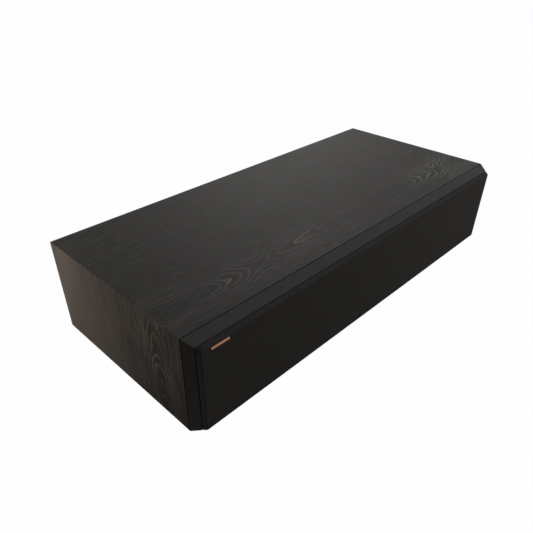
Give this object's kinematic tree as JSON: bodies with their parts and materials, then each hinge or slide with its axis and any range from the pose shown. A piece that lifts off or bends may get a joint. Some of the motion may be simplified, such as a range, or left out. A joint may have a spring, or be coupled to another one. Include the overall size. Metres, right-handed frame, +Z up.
{
  "type": "center channel speaker",
  "caption": "Long low home-theatre speaker: wood-grain cabinet, bevelled black baffle, framed cloth grille over a row of woofers and a horn tweeter, rear ports.",
  "frame": {"origin": "under the middle of the whole speaker, on the surface it stands on", "axes": "+X along the cabinet, -Y towards the listener, +Z up"},
  "size_m": [0.86, 0.386, 0.1855],
  "materials": {
    "wood_wrap": "satin",
    "bare_board": "matte",
    "baffle_black": "satin",
    "grille_cloth": "matte",
    "black_moulding": "matte",
    "copper_trim": "satin",
    "copper_cone": "satin",
    "basket_black": "satin",
    "soft_black": "matte",
    "treated_cloth": "matte",
    "coil_winding": "gloss",
    "ferrite": "matte",
    "plated_steel": "satin",
    "titanium": "satin",
    "black_screw": "satin",
    "plated_brass": "polished",
    "red_nut": "satin",
    "black_nut": "satin",
    "circuit_board": "satin",
    "capacitor_film": "satin",
    "white_cement": "matte",
    "lead_sleeve": "satin",
    "wadding": "matte"
  },
  "bodies": {
    "cabinet": {"top_board": "wood_wrap", "bottom_board": "wood_wrap", "left_board": "wood_wrap", "right_board": "wood_wrap", "rear_board": "bare_board", "left_brace": "bare_board", "right_brace": "bare_board", "front_baffle": "baffle_black", "horn": "black_moulding", "phase_plug": "black_moulding", "left_port": "black_moulding", "right_port": "black_moulding", "terminal_cup": "black_moulding", "tweeter_rear_cap": "black_moulding", "woofer_1_basket": "basket_black", "woofer_2_basket": "basket_black", "woofer_3_basket": "basket_black", "woofer_4_basket": "basket_black", "woofer_surrounds": "soft_black", "woofer_gaskets": "soft_black", "rubber_feet": "soft_black", "woofer_spiders": "treated_cloth", "crossover_coils": "coil_winding", "woofer_magnets": "ferrite", "tweeter_magnet": "ferrite", "baffle_magnets": "ferrite", "woofer_top_plates": "plated_steel", "woofer_yokes": "plated_steel", "tweeter_top_plate": "plated_steel", "tweeter_yoke": "plated_steel", "panel_screws": "black_screw", "binding_posts": "plated_brass", "jumper_straps": "plated_brass", "crossover_board": "circuit_board", "crossover_capacitors": "capacitor_film", "crossover_resistors": "white_cement", "driver_leads": "lead_sleeve", "damping_pads": "wadding"},
    "grille": {"grille_frame": "black_moulding", "grille_cloth": "grille_cloth", "grille_badge": "copper_trim", "grille_magnets": "ferrite"},
    "woofer_1_mover": {"woofer_1_cone": "copper_cone", "woofer_1_dust_cap": "copper_cone", "woofer_1_voice_coil": "coil_winding"},
    "woofer_2_mover": {"woofer_2_cone": "copper_cone", "woofer_2_dust_cap": "copper_cone", "woofer_2_voice_coil": "coil_winding"},
    "woofer_3_mover": {"woofer_3_cone": "copper_cone", "woofer_3_dust_cap": "copper_cone", "woofer_3_voice_coil": "coil_winding"},
    "woofer_4_mover": {"woofer_4_cone": "copper_cone", "woofer_4_dust_cap": "copper_cone", "woofer_4_voice_coil": "coil_winding"},
    "tweeter_mover": {"tweeter_diaphragm": "titanium"},
    "upper_left_nut": {"upper_left_thumb_nut": "red_nut"},
    "upper_right_nut": {"upper_right_thumb_nut": "black_nut"},
    "lower_left_nut": {"lower_left_thumb_nut": "red_nut"},
    "lower_right_nut": {"lower_right_thumb_nut": "black_nut"}
  },
  "joints": [
    {"name": "grille_pull", "type": "slide", "parent": "cabinet", "child": "grille", "axis": [0, -1, 0], "range_m": [0, 0.06]},
    {"name": "woofer_1_stroke", "type": "slide", "parent": "cabinet", "child": "woofer_1_mover", "axis": [0, -1, 0], "range_m": [-0.004, 0.004], "stiffness_N_per_m": 900, "deforming": ["woofer_surrounds", "woofer_spiders"]},
    {"name": "woofer_2_stroke", "type": "slide", "parent": "cabinet", "child": "woofer_2_mover", "axis": [0, -1, 0], "range_m": [-0.004, 0.004], "stiffness_N_per_m": 900, "deforming": ["woofer_surrounds", "woofer_spiders"]},
    {"name": "woofer_3_stroke", "type": "slide", "parent": "cabinet", "child": "woofer_3_mover", "axis": [0, -1, 0], "range_m": [-0.004, 0.004], "stiffness_N_per_m": 900, "deforming": ["woofer_surrounds", "woofer_spiders"]},
    {"name": "woofer_4_stroke", "type": "slide", "parent": "cabinet", "child": "woofer_4_mover", "axis": [0, -1, 0], "range_m": [-0.004, 0.004], "stiffness_N_per_m": 900, "deforming": ["woofer_surrounds", "woofer_spiders"]},
    {"name": "tweeter_stroke", "type": "slide", "parent": "cabinet", "child": "tweeter_mover", "axis": [0, -1, 0], "range_m": [-0.0003, 0.0003], "stiffness_N_per_m": 300},
    {"name": "upper_left_nut_turn", "type": "hinge", "parent": "cabinet", "child": "upper_left_nut", "pos_m": [0.022, 0.1764, 0.10975], "axis": [0, 1, 0], "continuous": true},
    {"name": "upper_right_nut_turn", "type": "hinge", "parent": "cabinet", "child": "upper_right_nut", "pos_m": [-0.022, 0.1764, 0.10975], "axis": [0, 1, 0], "continuous": true},
    {"name": "lower_left_nut_turn", "type": "hinge", "parent": "cabinet", "child": "lower_left_nut", "pos_m": [0.022, 0.1764, 0.07875], "axis": [0, 1, 0], "continuous": true},
    {"name": "lower_right_nut_turn", "type": "hinge", "parent": "cabinet", "child": "lower_right_nut", "pos_m": [-0.022, 0.1764, 0.07875], "axis": [0, 1, 0], "continuous": true}
  ]
}
